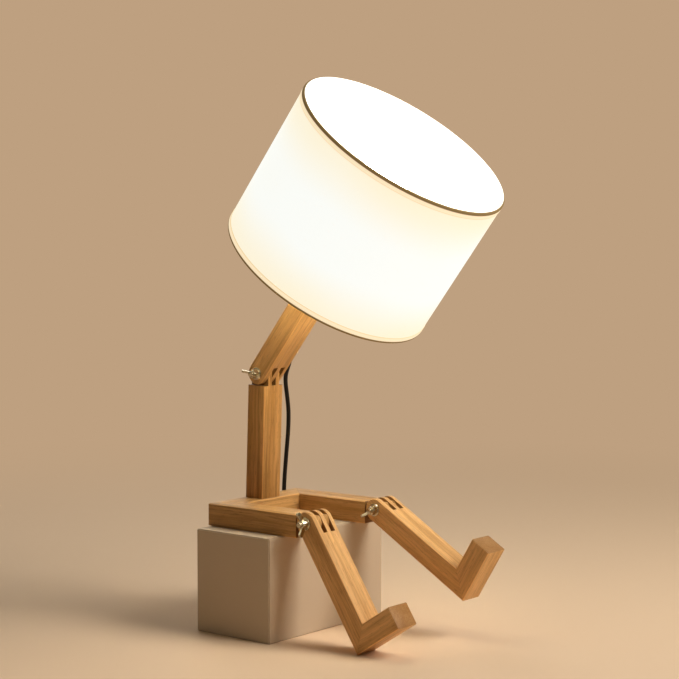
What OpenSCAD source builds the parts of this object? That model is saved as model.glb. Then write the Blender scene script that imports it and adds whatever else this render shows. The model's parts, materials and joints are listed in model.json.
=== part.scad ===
// Desk lamp shaped like a seated figure: hardwood bars, wooden finger hinges with wing nuts,
// and a drum shade for a head. +X is forward, +Y is the figure's left, +Z is up.
// The origin is on the underside of the seat, in the middle of its back bar.

/* [Timber] */
// Thickness of every bar
bar_t = 22.5; // [21:0.5:26]
// Width of every bar
bar_w = 28; // [26:0.5:34]
// Chamfer along the long edges of the bars
edge_c = 0.8; // [0.3:0.1:1.5]

/* [Seat] */
// Width of the seat over both arms
seat_w = 135; // [120:1:180]
// From the rear face of the seat to the knee bolts
knee_reach = 126; // [110:1:170]
// Height of the knee bolts above the underside of the seat
knee_z = 15; // [13:0.5:15.5]

/* [Torso and neck] */
// Height of the torso's shoulders above the seat's top face
torso_h = 115; // [90:1:160]
// Forward lean of the torso from upright
torso_lean = 2; // [0:0.5:5]
// Length of the neck bar from its bolt to its top end
neck_l = 138; // [115:1:170]
// Forward tilt of the neck from upright
neck_tilt = 38; // [0:1:60]
// From the neck bolt to the cable hole in the neck's left face
exit_s = 21; // [20:0.5:24]

/* [Legs] */
// Length of a leg from its knee bolt to the sole
leg_l = 132; // [100:1:180]
// Length of a foot from the back of its leg to the toe
foot_l = 58; // [45:1:90]
// Forward swing of the right leg from straight down
right_swing = 33; // [0:1:90]
// Forward swing of the left leg from straight down
left_swing = 59; // [0:1:90]

/* [Finger hinges] */
// Gap between neighbouring leaves
leaf_gap = 0.3; // [0.2:0.05:0.6]
// Gap between a round leaf end and the shoulder that it turns past
shoulder_gap = 0.75; // [0.5:0.05:1.5]
// Depth of the slots beyond the bolt
slot_l = 16; // [15.5:0.1:17]

/* [Hinge bolts] */
// Diameter of the hinge bolts
bolt_d = 5; // [4:0.5:6]
// Radial clearance between a bolt and its bores
bolt_gap = 0.05; // [0.02:0.01:0.1]
// Diameter of the domed bolt heads
head_d = 12; // [10:0.5:13]
// Height of the domed bolt heads
head_h = 3; // [2:0.25:4]
// Length of the square neck under a bolt head
neck_sq_l = 3; // [2:0.25:4.5]
// Diameter of the washers
washer_d = 12.5; // [12:0.5:19]
// Thickness of the washers
washer_t = 1.2; // [0.8:0.1:2]
// Diameter of a wing nut's hub where it meets the washer
hub_d = 10; // [9:0.25:11.5]
// Height of a wing nut's hub
hub_h = 6; // [5:0.25:8]
// Span of a wing nut over both wings
wing_span = 24; // [22:0.5:28]
// Height of a wing nut over its wings
wing_h = 9.5; // [8.5:0.5:14]
// Thickness of the wings
wing_t = 2.2; // [1.8:0.1:2.6]
// How far a bolt's end stands out of its nut's hub
bolt_spare = 3; // [2:0.5:5]
// Turn of the neck's wing nut from level
neck_nut_turn = 14; // [-90:1:90]
// Turn of the right knee's wing nut from level
right_nut_turn = -98; // [-180:1:180]
// Turn of the left knee's wing nut from level
left_nut_turn = -35; // [-180:1:180]

/* [Dowels and screws] */
// Diameter of the dowels across the mitres
dowel_d = 6; // [5:0.5:8]
// Length of the dowels in the seat's corners
dowel_l = 17; // [14:1:19]
// Length of the dowels in the heels
ankle_dowel_l = 14; // [10:0.5:16]
// Diameter of the screws that hold the torso
screw_d = 4; // [3:0.5:5]
// Length of those screws
screw_l = 45; // [35:1:60]
// Diameter of their countersunk heads
screw_head_d = 8; // [7:0.5:9]
// Distance between the two screws
screw_pitch = 13; // [10:0.5:15]
// How deep the screw heads lie below the seat's underside
screw_sink = 1; // [0.5:0.25:3]

/* [Lamp holder] */
// Outer diameter of the threaded tube that carries the holder
nipple_d = 10; // [9:0.5:12]
// Bore of that tube
nipple_bore_d = 7; // [6:0.25:7.5]
// Length of that tube inside the neck
nipple_in = 14; // [10:1:20]
// Diameter of the cable channel in the neck
channel_d = 8; // [7:0.5:8.5]
// Outer diameter of the holder
holder_d = 39; // [38:0.5:42]
// Wall of the holder's shells
holder_wall = 1.6; // [1.2:0.1:2]
// Height of the holder's lower shell
cap_h = 20; // [19:0.5:26]
// Height of the holder's upper shell
shell_h = 34; // [32:0.5:40]
// From the foot of the upper shell to its flange
flange_s = 12; // [10:0.5:14]
// Diameter of the flange that carries the shade
flange_d = 50; // [48:0.5:54]
// Thickness of that flange
flange_t = 2; // [1.5:0.25:3]
// Height of the threaded ring that clamps the shade
clamp_h = 8; // [6:0.5:10]
// Outer diameter of that ring
clamp_d = 52; // [50:0.5:58]
// Inner diameter of the bulb's screw shell
screw_shell_d = 27; // [26.9:0.1:27.6]
// Diameter of the switch knob
knob_d = 12; // [9:0.5:14]
// Length of the switch knob
knob_l = 13; // [10:0.5:18]
// Length of the switch spindle inside the holder
spindle_in = 12; // [9:0.5:15]
// Gap between the holder's wall and the knob
knob_gap = 3; // [2:0.5:6]
// Diameter of the switch spindle
spindle_d = 4; // [3:0.25:5]

/* [Bulb] */
// Diameter of the bulb's screw cap
bulb_cap_d = 26.4; // [26:0.1:26.5]
// Height of the bulb's screw cap
bulb_cap_h = 24; // [22:0.5:26]
// Diameter of the bulb
bulb_d = 55; // [45:1:60]
// Length of the glass above the cap
glass_l = 69; // [60:1:75]
// Wall of the glass
glass_wall = 1.4; // [1:0.1:1.6]

/* [Shade] */
// Diameter of the shade over its bindings
shade_d = 219; // [180:1:260]
// Height of the shade
shade_h = 156; // [140:1:180]
// From the neck bolt to the shade's lower rim
shade_s = 131; // [125:1:138]
// Thickness of the lined fabric wall
shade_wall = 1.2; // [0.8:0.1:2]
// Thickness of the binding tape
binding_t = 0.4; // [0.3:0.05:0.6]
// Width of the binding tape on each side of the wall, from the rim
binding_w = 7; // [6:0.5:9]
// Diameter of the ring wires
wire_d = 3; // [2.75:0.25:4]
// Diameter of the spokes
spoke_d = 2.5; // [2:0.1:2.6]
// Outer diameter of the flat ring in the middle of the spokes
gallery_d = 60; // [59:0.5:66]
// Thickness of that ring
gallery_t = 1.6; // [1.2:0.1:2.5]
// Number of spokes
spokes = 3; // [3:1:4]

/* [Cord and plug] */
// Diameter of the cord
cord_d = 4.4; // [4:0.1:4.8]
// Diameter of the grommet's barrel
grommet_d = 6.5; // [6:0.25:7]
// Diameter of the grommet's lip
grommet_lip_d = 9; // [8:0.25:10]
// Thickness of the grommet's lip
grommet_lip_t = 1; // [0.8:0.1:1]
// Length of the plug's body
plug_l = 26; // [24:1:34]
// Width of the plug's body
plug_w = 24; // [22:0.5:28]
// Thickness of the plug's body
plug_t = 15; // [14:0.5:18]
// Length of the plug's strain relief
relief_l = 22; // [20:1:30]
// Number of ribs on the strain relief
relief_ribs = 6; // [4:1:8]
// Distance between the plug's flat pins
pin_pitch = 12.7; // [12:0.1:13]
// Length of the pins
pin_l = 17; // [15:0.5:18]
// Width of the pins
pin_w = 6.3; // [6:0.1:7]
// Thickness of the pins
pin_t = 1.5; // [1.4:0.05:1.6]

/* [Hidden] */
$fn = 96;
wood_light = [0.80, 0.58, 0.34];
wood_mid = [0.74, 0.50, 0.27];
steel = [0.78, 0.76, 0.70];
cream = [0.98, 0.94, 0.82];
black = [0.06, 0.055, 0.05];
brass = [0.80, 0.66, 0.36];
ceramic = [0.92, 0.91, 0.88];

pitch = bar_w / 5;                       // one leaf of a finger hinge
knuckle_r = bar_t / 2;                   // round end of a leaf
bore_r = bolt_d / 2 + bolt_gap;
shoulder_l = knuckle_r + shoulder_gap;   // from a hinge bolt to the shoulder it clears
rear_x = -bar_w / 2;
knee_x = rear_x + knee_reach;
arm_y = seat_w / 2 - bar_w / 2;          // middle of an arm
torso_top = bar_t + torso_h;
neck_z = torso_top + shoulder_l;
neck_x = bar_w / 2 - bar_t / 2;
torso_x = neck_x - (neck_z - bar_t) * tan(torso_lean);  // where the torso stands on the seat
mitre_l = bar_w * sqrt(2);
dowel_r = dowel_d / 2;
dowel_gap = 0.05;
screw_core_r = screw_d / 2 - 0.4;
screw_end_z = screw_sink + screw_l;
lid_gap = 0.2;                           // play between parts inside the holder
inner_r = holder_d / 2 - holder_wall;    // inside of the holder's shells
cap_floor = 3;                           // floor of the lower shell
block_s = neck_l + cap_floor + 2;        // foot of the switch block, above the tube's end
block_foot_h = 5;

shell_s = neck_l + cap_h;                // foot of the holder's upper shell
flange_top_s = shell_s + flange_s + flange_t;
clamp_s = flange_top_s + gallery_t;
insert_s = shell_s + 3;                  // the switch block ends here
insert_t = 5;
insert_wall_h = shell_h - 10;
screw_shell_t = 0.8;
spindle_gap = 0.05;
insert_top_s = insert_s + insert_t;
tip_h = 2;                               // solder tip under the bulb's cap
contact_t = 0.6;
cap_s = insert_top_s + contact_t + tip_h;
glass_s = cap_s + bulb_cap_h;
thread_r = holder_d / 2;
knob_s = neck_l + cap_h / 2;

drum_r = shade_d / 2 - binding_t;
bead_r = wire_d / 2 + binding_t;         // a ring wire with the tape round it
wire_line_r = shade_d / 2 - bead_r;
low_wire_s = shade_s + bead_r;
wall_foot = 2 * bead_r - binding_t;      // the wall starts above the ring wire
shade_top_s = shade_s + shade_h;

// The plug and the coil lie on the level of the right heel.
floor_z = -101.8;
cord_r = cord_d / 2;
coil_turns = 8.5;
coil_out_r = 35.4;
coil_in_r = coil_out_r - coil_turns / 2 * cord_d;
coil_x = -64;
coil_y = 86.9;
plug_x = -20;
plug_y = coil_y + coil_out_r;
plug_z = floor_z + plug_t / 2;
exit_x = neck_x + exit_s * sin(neck_tilt);
exit_z = neck_z + exit_s * cos(neck_tilt);
exit_y = bar_w / 2 + grommet_lip_t;
channel_foot_s = exit_s - cord_d / 2 - 0.3;  // the channel ends just below the cable hole

// The cord from the grommet down behind the seat to the floor and up to the coil.
drop_route = [
    [exit_x, exit_y, exit_z], [exit_x, 16, exit_z], [15.4, 19.8, 165.4], [14.4, 23.1, 163.4],
    [13, 25.2, 160.5], [11.4, 26, 157], [9.3, 26.3, 152.5], [7.2, 26.8, 147.8],
    [5.2, 28, 142.4], [3.5, 30.2, 135.8], [2.2, 32.9, 128.6],
    [1, 35.8, 120], [-0.6, 39, 110], [-2.4, 41.4, 100], [-4.6, 43.4, 88],
    [-7.2, 45.2, 76], [-10, 46.8, 63], [-12.8, 48.4, 49], [-15.2, 49.8, 36], [-16.8, 50.8, 24],
    [-17.4, 51.3, 10], [-17.6, 51.5, -10], [-17.6, 51.5, -32], [-17.6, 51.5, -54],
    [-17.6, 51.5, -74], [-18.4, 51.5, -82], [-21, 51.5, -89.4], [-25.4, 51.5, -95],
    [-31.4, 51.5, -98.6], [-38, 51.5, -99.6], [-46, 51.5, -99.6], [-55, 51.5, -99.6],
    [coil_x, 51.5, -99.6]
];
// The end of the cord, from the top of the coil into the plug's strain relief.
tail_route = [
    [coil_x, plug_y, -95.2], [-60, plug_y, -95.2], [-56, plug_y, -95], [-52, plug_y, -94.5],
    [-48, plug_y, plug_z], [plug_x - relief_l, plug_y, plug_z]
];

// ---- places -------------------------------------------------------------------------------

// Neck frame: origin on the neck bolt, +Z along the neck, +X out of its front face.
module at_neck() {
    translate([neck_x, 0, neck_z]) rotate([0, neck_tilt, 0]) children();
}

// Torso frame: origin on the neck bolt, -Z down the torso.
module at_torso() {
    translate([neck_x, 0, neck_z]) rotate([0, torso_lean, 0]) children();
}

// Leg frame: origin on the knee bolt, -Z along the leg, +X towards the toe.
module at_leg(side) {
    swing = side < 0 ? right_swing : left_swing;
    translate([knee_x, side * arm_y, knee_z]) rotate([0, -swing, 0]) children();
}

// Mitre frame at a rear corner of the seat: origin on the outer corner, +X along the mitre.
module at_mitre(side) {
    translate([rear_x, side * seat_w / 2, 0]) rotate([0, 0, -side * 45]) children();
}

// Mitre frame at a heel: origin on the heel's outer corner, +X along the mitre.
module at_heel() {
    translate([-bar_t / 2, 0, -leg_l]) rotate([0, -45, 0]) children();
}

// ---- timber -------------------------------------------------------------------------------

module chamfered(w, t) {
    polygon([
        for (k = [[1, 1], [-1, 1], [-1, -1], [1, -1]])
            for (end = k[0] * k[1] > 0 ? [0, 1] : [1, 0])
                [k[0] * (w / 2 - edge_c * end), k[1] * (t / 2 - edge_c * (1 - end))]
    ]);
}

// A bar along +Z from the origin, w wide in Y and t thick in X.
module bar(l) {
    linear_extrude(l) chamfered(bar_t, bar_w);
}

// The round end of a bar, about the Y axis, with the same chamfers as its long edges.
module round_end() {
    h = bar_w / 2;
    rotate([90, 0, 0]) rotate_extrude() polygon([
        [0, -h], [knuckle_r - edge_c, -h], [knuckle_r, -h + edge_c],
        [knuckle_r, h - edge_c], [knuckle_r - edge_c, h], [0, h]
    ]);
}

module y_cylinder(r, l) {
    rotate([90, 0, 0]) cylinder(r = r, h = l, center = true);
}

// Slots for the two inner leaves of a hinge, cut from above the bolt down to slot_l below it.
module leaf_slots() {
    for (i = [1, 3])
        translate([-bar_w, -bar_w / 2 + i * pitch - leaf_gap / 2, -slot_l])
            cube([2 * bar_w, pitch + leaf_gap, slot_l + bar_w]);
}

// The bar end that holds the three outer leaves: round, slotted, bored, and squared for the bolt.
module outer_leaves_cuts() {
    leaf_slots();
    y_cylinder(bore_r, bar_w + 2);
    bolt_square(bolt_gap);
}

// The two inner leaves, about the Y axis, reaching back to a shoulder at -Z; top limits them in X.
module inner_leaves(top) {
    for (i = [1, 3])
        intersection() {
            translate([0, -bar_w / 2 + (i + 0.5) * pitch, 0]) union() {
                y_cylinder(knuckle_r, pitch - leaf_gap);
                translate([-knuckle_r, -(pitch - leaf_gap) / 2, -shoulder_l - 2])
                    cube([2 * knuckle_r, pitch - leaf_gap, shoulder_l + 2]);
            }
            translate([-bar_w, -bar_w, -bar_w]) cube([bar_w + top, 2 * bar_w, 2 * bar_w]);
        }
}

// Dowel places in a mitre frame, as a share of the mitre's length from the outer corner.
module at_dowels(length) {
    for (share = [0.36, 0.62])
        translate([share * length, 0, 0]) children();
}

module seat_dowel_shapes(r, l) {
    for (side = [-1, 1])
        at_mitre(side) at_dowels(mitre_l) translate([0, 0, bar_t / 2]) y_cylinder(r, l);
}

module seat_mitre(side) {
    at_mitre(side) translate([-bar_w, side < 0 ? -3 * bar_w : 0, -1])
        cube([4 * bar_w, 3 * bar_w, bar_t + 2]);
}

module back_bar() {
    color(wood_mid) difference() {
        translate([0, -seat_w / 2, bar_t / 2]) rotate([-90, 90, 0]) linear_extrude(seat_w)
            chamfered(bar_t, bar_w);
        for (side = [-1, 1]) seat_mitre(side);
        seat_dowel_shapes(dowel_r + dowel_gap, dowel_l + 1);
        screws(dowel_gap, true);
    }
}

module arm(side) {
    color(wood_mid) difference() {
        union() {
            translate([rear_x, side * arm_y, bar_t / 2]) rotate([0, 90, 0])
                linear_extrude(knee_reach - shoulder_l) chamfered(bar_t, bar_w);
            translate([knee_x, side * arm_y, knee_z]) rotate([0, 90, 0]) rotate([0, 0, 180])
                inner_leaves(bar_t - knee_z);
        }
        at_mitre(side) translate([-bar_w, side < 0 ? 0 : -3 * bar_w, -1])
            cube([4 * bar_w, 3 * bar_w, bar_t + 2]);
        seat_dowel_shapes(dowel_r + dowel_gap, dowel_l + 1);
        translate([knee_x, side * arm_y, knee_z]) y_cylinder(bore_r, bar_w + 2);
    }
}

module right_arm() { arm(-1); }

module left_arm() { arm(1); }

module seat_dowels() {
    color(wood_light) seat_dowel_shapes(dowel_r, dowel_l);
}

module torso_post() {
    below = bar_t;                       // spare length that is cut off level with the seat
    color(wood_light) difference() {
        at_torso() difference() {
            union() {
                translate([0, 0, -shoulder_l - torso_h - below]) bar(torso_h + below);
                inner_leaves(knuckle_r);
            }
            y_cylinder(bore_r, bar_w + 2);
        }
        translate([-2 * bar_w, -bar_w, -2 * bar_w]) cube([4 * bar_w, 2 * bar_w, 2 * bar_w + bar_t]);
        screws(dowel_gap, false);
    }
}

// Two countersunk wood screws; gap widens them into their holes, open_below runs the holes out.
module screws(gap, open_below) {
    core = screw_core_r + gap;
    head = screw_head_d / 2 + gap;
    cone_h = head - core;
    for (y = [-1, 1] * screw_pitch / 2)
        translate([torso_x, y, 0]) {
            translate([0, 0, screw_sink]) cylinder(r1 = head, r2 = core, h = cone_h);
            translate([0, 0, screw_sink]) cylinder(r = core, h = screw_l + gap);
            if (open_below) translate([0, 0, -1]) cylinder(r = head, h = screw_sink + 1);
        }
}

module torso_screws() {
    color(steel) difference() {
        screws(0, false);
        for (y = [-1, 1] * screw_pitch / 2)
            for (a = [0, 90])
                translate([torso_x, y, screw_sink]) rotate([0, 0, a])
                    cube([screw_head_d * 0.55, 1, 2], center = true);
    }
}

module neck_bar() {
    color(wood_light) at_neck() difference() {
        union() {
            bar(neck_l);
            round_end();
        }
        mirror([0, 0, 1]) outer_leaves_cuts();
        translate([0, 0, channel_foot_s]) cylinder(d = channel_d, h = neck_l);
        translate([0, 0, neck_l - nipple_in]) cylinder(d = nipple_d + 0.1, h = nipple_in + 1);
        translate([0, 0, exit_s]) rotate([-90, 0, 0])
            cylinder(d = grommet_d + 0.1, h = bar_w);
    }
}

module leg(side) {
    color(wood_light) at_leg(side) difference() {
        union() {
            translate([0, 0, -leg_l]) bar(leg_l);
            round_end();
        }
        outer_leaves_cuts();
        at_heel() translate([-bar_t, -bar_w, -3 * bar_t]) cube([4 * bar_t, 2 * bar_w, 3 * bar_t]);
        ankle_dowel_shapes(dowel_r + dowel_gap, ankle_dowel_l + 1);
    }
}

module foot(side) {
    color(wood_mid) at_leg(side) difference() {
        translate([-bar_t / 2, 0, bar_t / 2 - leg_l]) rotate([0, 90, 0]) bar(foot_l);
        at_heel() translate([-bar_t, -bar_w, 0]) cube([4 * bar_t, 2 * bar_w, 3 * bar_t]);
        ankle_dowel_shapes(dowel_r + dowel_gap, ankle_dowel_l + 1);
    }
}

// Two dowels side by side across the mitre at the heel.
module ankle_dowel_shapes(r, l) {
    at_heel() for (y = [-1, 1] * bar_w / 5)
        translate([bar_t * sqrt(2) * 0.52, y, 0]) cylinder(r = r, h = l, center = true);
}

module ankle_dowels(side) {
    color(wood_light) at_leg(side) ankle_dowel_shapes(dowel_r, ankle_dowel_l);
}

module right_leg() { leg(-1); }

module right_foot() { foot(-1); }

module right_ankle_dowels() { ankle_dowels(-1); }

module left_leg() { leg(1); }

module left_foot() { foot(1); }

module left_ankle_dowels() { ankle_dowels(1); }

// ---- hinge bolts, about the Y axis, with the head on the +Y side ---------------------------

module bolt_square(gap) {
    side = bolt_d + 2 * gap;
    translate([-side / 2, bar_w / 2 - neck_sq_l - gap, -side / 2])
        cube([side, neck_sq_l + gap + 0.01, side]);
}

module bolt() {
    dome_r = (head_d * head_d / 4 + head_h * head_h) / (2 * head_h);
    stack = bar_w + washer_t + hub_h + bolt_spare;
    color(steel) {
        translate([0, bar_w / 2 - stack / 2, 0]) y_cylinder(bolt_d / 2, stack);
        bolt_square(0);
        translate([0, bar_w / 2, 0]) rotate([-90, 0, 0]) intersection() {
            cylinder(d = head_d, h = head_h);
            translate([0, 0, head_h - dome_r]) sphere(r = dome_r);
        }
    }
}

module washer() {
    color(steel) translate([0, -bar_w / 2 - washer_t / 2, 0]) difference() {
        y_cylinder(washer_d / 2, washer_t);
        y_cylinder(bore_r + 0.1, washer_t + 2);
    }
}

// A wing nut on its washer, with the wings along X and flared away from the wood.
module wing_nut(turn) {
    tip_r = wing_h * 0.24;
    root_r = tip_r * 0.9;
    hub_top_r = hub_d / 2 - 1.2;
    color(steel) translate([0, -bar_w / 2 - washer_t, 0]) rotate([0, turn, 0]) rotate([90, 0, 0])
        difference() {
            union() {
                cylinder(r1 = hub_d / 2, r2 = hub_top_r, h = hub_h);
                for (side = [0, 1])
                    mirror([side, 0, 0]) rotate([90, 0, 0]) linear_extrude(wing_t, center = true) hull() {
                        translate([wing_span / 2 - tip_r, wing_h - tip_r]) circle(r = tip_r, $fn = 48);
                        translate([hub_top_r, root_r + 0.4]) circle(r = root_r, $fn = 48);
                    }
            }
            translate([0, 0, -1]) cylinder(r = bore_r, h = wing_h + 2);
        }
}

module neck_bolt() { at_neck() bolt(); }

module neck_washer() { at_neck() washer(); }

module neck_wing_nut() { at_neck() wing_nut(neck_nut_turn - neck_tilt); }

module right_knee_bolt() { at_leg(-1) bolt(); }

module right_knee_washer() { at_leg(-1) washer(); }

module right_wing_nut() { at_leg(-1) wing_nut(right_nut_turn + right_swing); }

module left_knee_bolt() { at_leg(1) bolt(); }

module left_knee_washer() { at_leg(1) washer(); }

module left_wing_nut() { at_leg(1) wing_nut(left_nut_turn + left_swing); }

// ---- wiring in the neck -------------------------------------------------------------------

module cable_grommet() {
    color(black) at_neck() translate([0, 0, exit_s]) rotate([-90, 0, 0]) difference() {
        union() {
            translate([0, 0, bar_w / 2 - 6]) cylinder(d = grommet_d, h = 6);
            translate([0, 0, bar_w / 2]) cylinder(d = grommet_lip_d, h = grommet_lip_t);
        }
        cylinder(d = cord_d + 0.1, h = bar_w);
    }
}

module neck_lead() {
    color(black) at_neck() {
        translate([0, 0, exit_s]) cylinder(r = cord_r, h = neck_l + 4 - exit_s);
        translate([0, 0, exit_s]) sphere(r = cord_r);
        translate([0, 0, exit_s]) rotate([-90, 0, 0]) cylinder(r = cord_r, h = exit_y);
    }
}

// ---- lamp holder, all about the neck frame's Z axis ---------------------------------------

module ring(d_out, d_in, z, h) {
    translate([0, 0, z]) difference() {
        cylinder(d = d_out, h = h);
        translate([0, 0, -1]) cylinder(d = d_in, h = h + 2);
    }
}

module holder_nipple() {
    color(steel) at_neck() ring(nipple_d, nipple_bore_d, neck_l - nipple_in, block_s - neck_l + nipple_in);
}

module holder_cap() {
    r = holder_d / 2;
    foot_r = r - 5;
    hole_r = nipple_d / 2 + 0.05;
    color(black) at_neck() difference() {
        translate([0, 0, neck_l]) rotate_extrude() polygon([
            [hole_r, 0], [foot_r, 0], [r - 1, 5], [r, 9], [r, cap_h], [inner_r, cap_h],
            [inner_r, 9.5], [foot_r - 1, cap_floor], [hole_r, cap_floor]
        ]);
        spindle_hole(spindle_d + 1);
    }
}

module spindle_hole(d) {
    translate([0, 0, knob_s]) rotate([90, 0, 0]) cylinder(d = d, h = holder_d);
}

module holder_shell() {
    color(black) at_neck() {
        ring(holder_d, 2 * inner_r, shell_s, shell_h);
        ring(flange_d, holder_d - 1, shell_s + flange_s, flange_t);
    }
}

module switch_block() {
    r = inner_r - lid_gap - 0.5;
    color(ceramic) at_neck() difference() {
        translate([0, 0, block_s]) rotate_extrude() polygon([
            [nipple_bore_d / 2, 0], [r - 4, 0], [r, block_foot_h], [r, insert_s - block_s],
            [0, insert_s - block_s], [0, block_foot_h], [nipple_bore_d / 2, block_foot_h]
        ]);
        spindle_hole(spindle_d + 2 * spindle_gap);
    }
}

module switch_knob() {
    wall_y = holder_d / 2 + knob_gap;
    start_y = holder_d / 2 - spindle_in;
    flute_r = 1.1;
    color(black) at_neck() translate([0, 0, knob_s]) rotate([90, 0, 0]) {
        translate([0, 0, start_y]) cylinder(d = spindle_d, h = wall_y + 1 - start_y);
        translate([0, 0, wall_y]) linear_extrude(knob_l) difference() {
            circle(d = knob_d);
            for (a = [0:30:359])
                rotate(a) translate([knob_d / 2 + 0.4, 0]) circle(r = flute_r, $fn = 24);
        }
    }
}

module socket_insert() {
    r = inner_r - lid_gap;
    color(ceramic) at_neck() {
        translate([0, 0, insert_s]) cylinder(r = r, h = insert_t);
        ring(2 * r, screw_shell_d + 2 * screw_shell_t + lid_gap, insert_top_s, insert_wall_h);
    }
}

module screw_shell() {
    color(brass) at_neck()
        ring(screw_shell_d + 2 * screw_shell_t, screw_shell_d, insert_top_s, insert_wall_h - 1);
}

module centre_contact() {
    color(brass) at_neck() translate([0, 0, insert_top_s]) cylinder(r = 4.5, h = contact_t);
}

module shade_clamp_ring() {
    color(black) at_neck() difference() {
        ring(clamp_d, holder_d + 0.1, clamp_s, clamp_h);
        for (a = [0:15:359])
            rotate([0, 0, a]) translate([clamp_d / 2 + 0.7, 0, clamp_s + 2])
                cylinder(r = 1.4, h = clamp_h, $fn = 24);
    }
}

// ---- bulb ---------------------------------------------------------------------------------

module bulb_cap() {
    r = bulb_cap_d / 2;
    turns = 5;
    groove = 0.9;
    wall = 2;
    thread_h = bulb_cap_h - 7;
    color(steel) at_neck() translate([0, 0, cap_s]) rotate_extrude() polygon(concat(
        [[0, -tip_h], [4, -tip_h], [4.8, -0.6], [r - 3, 2]],
        [for (k = [0:2 * turns]) [r - (k % 2 == 0 ? groove : 0), 3 + thread_h * k / (2 * turns)]],
        [[r - 0.4, bulb_cap_h - 3], [r - 0.4, bulb_cap_h], [r - wall, bulb_cap_h]],
        [[r - wall, 4], [0, 4]]
    ));
}

// Outline of the glass from its foot to its top, moved inwards by inset.
function glass_outline(inset) =
    let (
        r = bulb_d / 2 - inset,
        foot_r = bulb_cap_d / 2 + 0.6 - inset,
        ball_z = glass_l - bulb_d / 2,
        blend_z = ball_z - r * sin(18)
    )
    concat(
        [[foot_r, 0]],
        [for (k = [1:12]) let (u = k / 12)
            [foot_r + (r * cos(18) - foot_r) * (3 - 2 * u) * u * u, blend_z * u]],
        [for (a = [-12:6:84]) [r * cos(a), ball_z + r * sin(a)]],
        [[0, ball_z + r]]
    );

module bulb_glass() {
    outer = glass_outline(0);
    inner = glass_outline(glass_wall);
    color([1, 0.96, 0.85]) at_neck() translate([0, 0, glass_s]) rotate_extrude()
        polygon(concat(outer, [for (k = [len(inner) - 1:-1:0]) inner[k]]));
}

// ---- shade --------------------------------------------------------------------------------

module shade_drum() {
    color(cream) at_neck() ring(2 * drum_r, 2 * (drum_r - shade_wall), shade_s + wall_foot,
        shade_h - 2 * wall_foot);
}

// A tape folded round a ring wire, with its rim at the origin and its two ends on the wall above.
module binding() {
    in_r = drum_r - shade_wall;
    rotate_extrude() difference() {
        union() {
            translate([wire_line_r, bead_r]) circle(r = bead_r, $fn = 32);
            translate([in_r - binding_t, bead_r])
                square([shade_wall + 2 * binding_t, binding_w - bead_r]);
        }
        translate([wire_line_r, bead_r]) circle(d = wire_d, $fn = 32);
        translate([in_r, wall_foot]) square([shade_wall, binding_w]);
    }
}

module lower_binding() {
    color(cream) at_neck() difference() {
        translate([0, 0, shade_s]) binding();
        spoke_rods(spoke_d + 0.1);
    }
}

module upper_binding() {
    color(cream) at_neck() translate([0, 0, shade_top_s]) mirror([0, 0, 1]) binding();
}

module wire_ring(z) {
    translate([0, 0, z]) rotate_extrude() translate([wire_line_r, 0]) circle(d = wire_d, $fn = 32);
}

module shade_top_ring() {
    color(steel) at_neck() wire_ring(shade_top_s - bead_r);
}

module shade_lower_ring() {
    color(steel) at_neck() wire_ring(low_wire_s);
}

// The flat ring that the clamp ring presses on the holder's flange.
module shade_gallery() {
    color(steel) at_neck() ring(gallery_d, holder_d + 0.6, flange_top_s, gallery_t);
}

// Straight rods from the middle of the lower ring wire up to just inside the gallery's edge.
module spoke_rods(d) {
    run = wire_line_r - gallery_d / 2 + 1;
    rise = flange_top_s + gallery_t / 2 - low_wire_s;
    for (k = [0:spokes - 1])
        rotate([0, 0, 90 + k * 360 / spokes]) translate([wire_line_r, 0, low_wire_s])
            rotate([0, -atan2(run, rise), 0]) cylinder(d = d, h = norm([rise, run]));
}

// The spokes end on the lower ring wire and on the gallery's edge, and are welded to both.
module shade_spokes() {
    color(steel) at_neck() difference() {
        spoke_rods(spoke_d);
        wire_ring(low_wire_s);
        translate([0, 0, flange_top_s - gallery_d / 2]) cylinder(d = gallery_d, h = gallery_d);
    }
}

// ---- cord ---------------------------------------------------------------------------------

// A round tube swept along a list of points, none of whose steps runs along [1, -0.6, 0].
module tube(route, r, sides) {
    n = len(route);
    tangents = [for (i = [0:n - 1]) unit(route[min(i + 1, n - 1)] - route[max(i - 1, 0)])];
    rings = [
        for (i = [0:n - 1])
            let (
                t = tangents[i],
                u = unit(cross(t, [1, -0.6, 0])),
                v = cross(t, u)
            )
            for (k = [0:sides - 1])
                route[i] + r * (cos(k * 360 / sides) * u + sin(k * 360 / sides) * v)
    ];
    walls = [
        for (i = [0:n - 2])
            for (k = [0:sides - 1])
                let (a = i * sides + k, b = i * sides + (k + 1) % sides)
                [a, a + sides, b + sides, b]
    ];
    polyhedron(rings, concat(
        [[for (k = [0:sides - 1]) k]], walls,
        [[for (k = [sides - 1:-1:0]) (n - 1) * sides + k]]
    ));
}

function unit(v) = v / norm(v);

module cord_drop() {
    color(black) tube(drop_route, cord_r, 10);
}

// The outer shape of the coil: two flat layers of turns, one on the other.
module cord_coil() {
    color(black) translate([coil_x, coil_y, 0])
        ring(2 * (coil_out_r + cord_r), 2 * (coil_in_r - cord_r), floor_z, 2 * cord_d);
}

module cord_tail() {
    color(black) tube(tail_route, cord_r, 10);
}

// The plug lies flat, with its pins towards +X.
module plug_body() {
    color(black) translate([plug_x, plug_y, plug_z]) {
        hull() for (x = [0, plug_l - 3], y = [-1, 1])
            translate([x + 1.5, y * (plug_w / 2 - plug_t / 2 + (x > 0 ? 0 : -1.5)), 0])
                rotate([0, 90, 0]) cylinder(d = plug_t - (x > 0 ? 0 : 2), h = 1.5, $fn = 32);
        translate([-relief_l, 0, 0]) rotate([0, 90, 0]) strain_relief();
    }
}

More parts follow.
